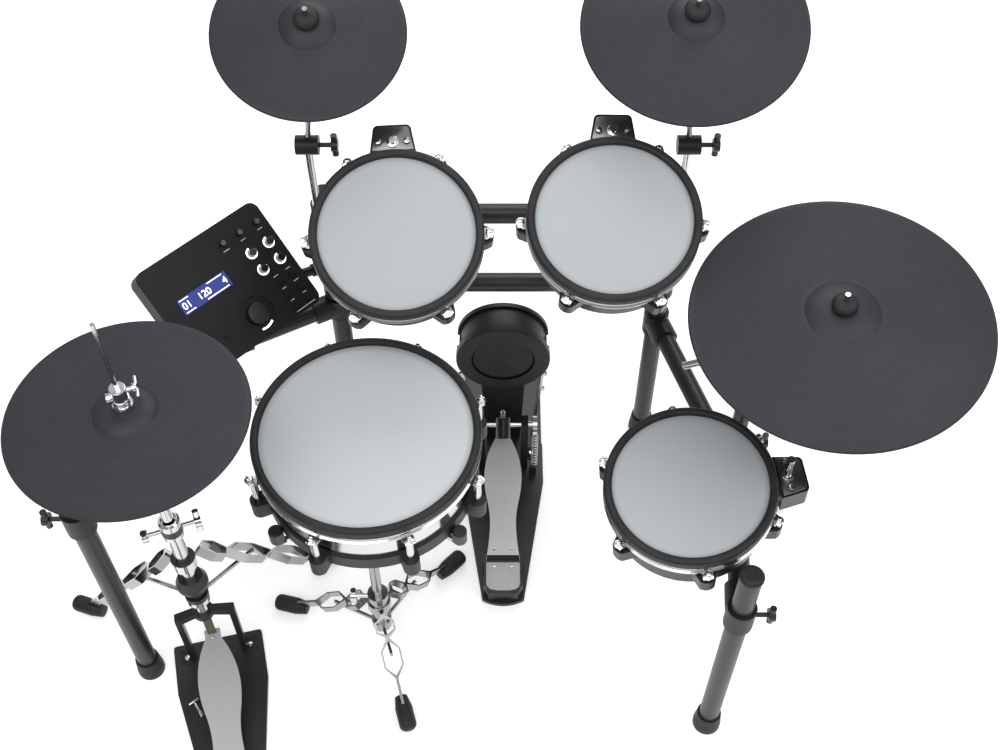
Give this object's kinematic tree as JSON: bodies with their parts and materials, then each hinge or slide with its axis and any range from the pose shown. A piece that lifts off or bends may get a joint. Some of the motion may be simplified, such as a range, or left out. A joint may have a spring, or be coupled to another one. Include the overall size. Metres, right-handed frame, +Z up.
{
  "type": "electronic drum kit",
  "caption": "Electronic drum kit: mesh-headed drum pads, rubber cymbal pads on stands, a kick pad with pedal and a sound module on a tube rack.",
  "frame": {"origin": "on the floor under the kick tower's base plate, in the plane of the rack's back posts", "axes": "+X to the player's right, +Y away from the player, +Z up"},
  "size_m": [1.574, 1.0794, 1.1045],
  "materials": {
    "black_tube": "satin black powder coat",
    "black_plastic": "fine-textured moulding",
    "black_rubber": "matt rubber",
    "cymbal_rubber": "matt, fine round grooves",
    "chrome": "mirror plated",
    "mesh": "fine woven mesh",
    "black_shell": "semi-gloss moulding",
    "steel": "brushed",
    "footboard_alloy": "brushed casting",
    "beater_plastic": "smooth",
    "screen": "lit window"
  },
  "bodies": {
    "stand": {"rack_legs": "black_tube", "rack_bars": "black_tube", "rack_feet": "black_rubber", "rack_clamps": "black_plastic", "rack_screws": "chrome", "cymbal_poles": "chrome", "cymbal_holders": "black_rubber", "tom_rods": "chrome", "module_bracket": "black_plastic", "kick_base_plate": "black_tube", "kick_tower": "black_tube", "kick_pad": "black_plastic", "kick_pad_face": "black_rubber", "kick_stays": "chrome", "kick_pedal_base": "black_tube", "kick_spring": "steel", "hihat_base": "black_tube", "hihat_yoke": "black_tube", "hihat_tube": "chrome", "hihat_collars": "black_plastic", "hihat_legs": "chrome", "hihat_bottom": "cymbal_rubber", "snare_stand_tube": "chrome", "snare_stand_legs": "chrome", "stand_feet": "black_rubber"},
    "crash_left": {"crash_left": "cymbal_rubber"},
    "crash_right": {"crash_right": "cymbal_rubber"},
    "ride": {"ride": "cymbal_rubber"},
    "snare_post": {"snare_post": "chrome"},
    "snare": {"snare_basket": "chrome", "snare_shell": "chrome", "snare_head": "mesh", "snare_rim": "black_rubber", "snare_hoop": "chrome", "snare_base_ring": "black_plastic"},
    "kick_footboard": {"kick_footboard": "footboard_alloy", "kick_chain": "steel"},
    "kick_beater": {"kick_axle": "steel", "kick_beater": "beater_plastic"},
    "hihat_footboard": {"hihat_footboard": "footboard_alloy"},
    "hihat_top": {"hihat_rod": "chrome", "hihat_top": "cymbal_rubber", "hihat_strap": "black_rubber"},
    "module": {"module_case": "black_plastic", "module_display": "screen", "module_knobs": "black_plastic"},
    "module_dial": {"module_dial": "black_plastic"},
    "module_buttons": {"module_buttons": "black_plastic"},
    "tom1": {"tom1_shell": "black_shell", "tom1_head": "mesh", "tom1_rim": "black_rubber", "tom1_hoop": "chrome"},
    "tom2": {"tom2_shell": "black_shell", "tom2_head": "mesh", "tom2_rim": "black_rubber", "tom2_hoop": "chrome"},
    "tom3": {"tom3_shell": "black_shell", "tom3_head": "mesh", "tom3_rim": "black_rubber", "tom3_hoop": "chrome"}
  },
  "joints": [
    {"name": "crash_left_rock", "type": "hinge", "parent": "stand", "child": "crash_left", "pos_m": [-0.29803, -0.00286, 1.05715], "axis": [0.9903, 0.1392, 0], "range_deg": [-10, 10], "stiffness_Nm_per_rad": 6},
    {"name": "crash_right_rock", "type": "hinge", "parent": "stand", "child": "crash_right", "pos_m": [0.29527, 0.02802, 1.04749], "axis": [0.9925, -0.1219, 0], "range_deg": [-10, 10], "stiffness_Nm_per_rad": 6},
    {"name": "ride_rock", "type": "hinge", "parent": "stand", "child": "ride", "pos_m": [0.50584, -0.36693, 0.81436], "axis": [0.8572, -0.515, 0], "range_deg": [-10, 10], "stiffness_Nm_per_rad": 6},
    {"name": "tom1_swivel", "type": "hinge", "parent": "stand", "child": "tom1", "pos_m": [-0.17674, -0.07576, 0.89812], "axis": [0.0317, -0.4529, 0.891], "range_deg": [-10, 10]},
    {"name": "tom2_swivel", "type": "hinge", "parent": "stand", "child": "tom2", "pos_m": [0.17452, -0.05482, 0.90421], "axis": [-0.0068, -0.3907, 0.9205], "range_deg": [-10, 3]},
    {"name": "tom3_swivel", "type": "hinge", "parent": "stand", "child": "tom3", "pos_m": [0.44895, -0.49502, 0.58262], "axis": [-0.0852, -0.1312, 0.9877], "range_deg": [-10, 5]},
    {"name": "snare_height", "type": "slide", "parent": "stand", "child": "snare_post", "axis": [0, 0, 1], "range_m": [-0.03, 0.04]},
    {"name": "snare_tilt", "type": "hinge", "parent": "snare_post", "child": "snare", "pos_m": [-0.232, -0.48, 0.382], "axis": [1, 0, 0], "range_deg": [-10, 10]},
    {"name": "kick_pedal", "type": "hinge", "parent": "stand", "child": "kick_footboard", "pos_m": [0, -0.34255, 0.033], "axis": [1, 0, 0], "range_deg": [-4.18, 0], "stiffness_Nm_per_rad": 12, "springref_deg": 5.73, "deforming": ["kick_chain"]},
    {"name": "kick_beater_swing", "type": "hinge", "parent": "stand", "child": "kick_beater", "pos_m": [0, -0.1, 0.15], "axis": [1, 0, 0], "range_deg": [-48, 0], "deforming": ["kick_spring"]},
    {"name": "hihat_pedal", "type": "hinge", "parent": "stand", "child": "hihat_footboard", "pos_m": [-0.47932, -0.78907, 0.033], "axis": [0.972, 0.2351, 0], "range_deg": [-2.36, 0], "stiffness_Nm_per_rad": 20, "springref_deg": 5.73},
    {"name": "hihat_pull", "type": "slide", "parent": "stand", "child": "hihat_top", "axis": [0, 0, 1], "range_m": [-0.011, 0]},
    {"name": "module_tilt", "type": "hinge", "parent": "stand", "child": "module", "pos_m": [-0.48192, -0.16255, 0.61969], "axis": [0.7009, 0.7133, 0], "range_deg": [-15, 15]},
    {"name": "module_dial_turn", "type": "hinge", "parent": "module", "child": "module_dial", "pos_m": [-0.4126, -0.21328, 0.63108], "axis": [0.4391, -0.4315, 0.788], "continuous": true},
    {"name": "module_buttons_press", "type": "slide", "parent": "module", "child": "module_buttons", "axis": [0.4391, -0.4315, 0.788], "range_m": [-0.001, 0], "stiffness_N_per_m": 800, "springref_m": 0.001}
  ],
  "couplings": [
    {"joint": "kick_beater_swing", "follows": "kick_pedal", "ratio": 11.46},
    {"joint": "hihat_pull", "follows": "hihat_pedal", "m_per_rad": 0.2665}
  ]
}
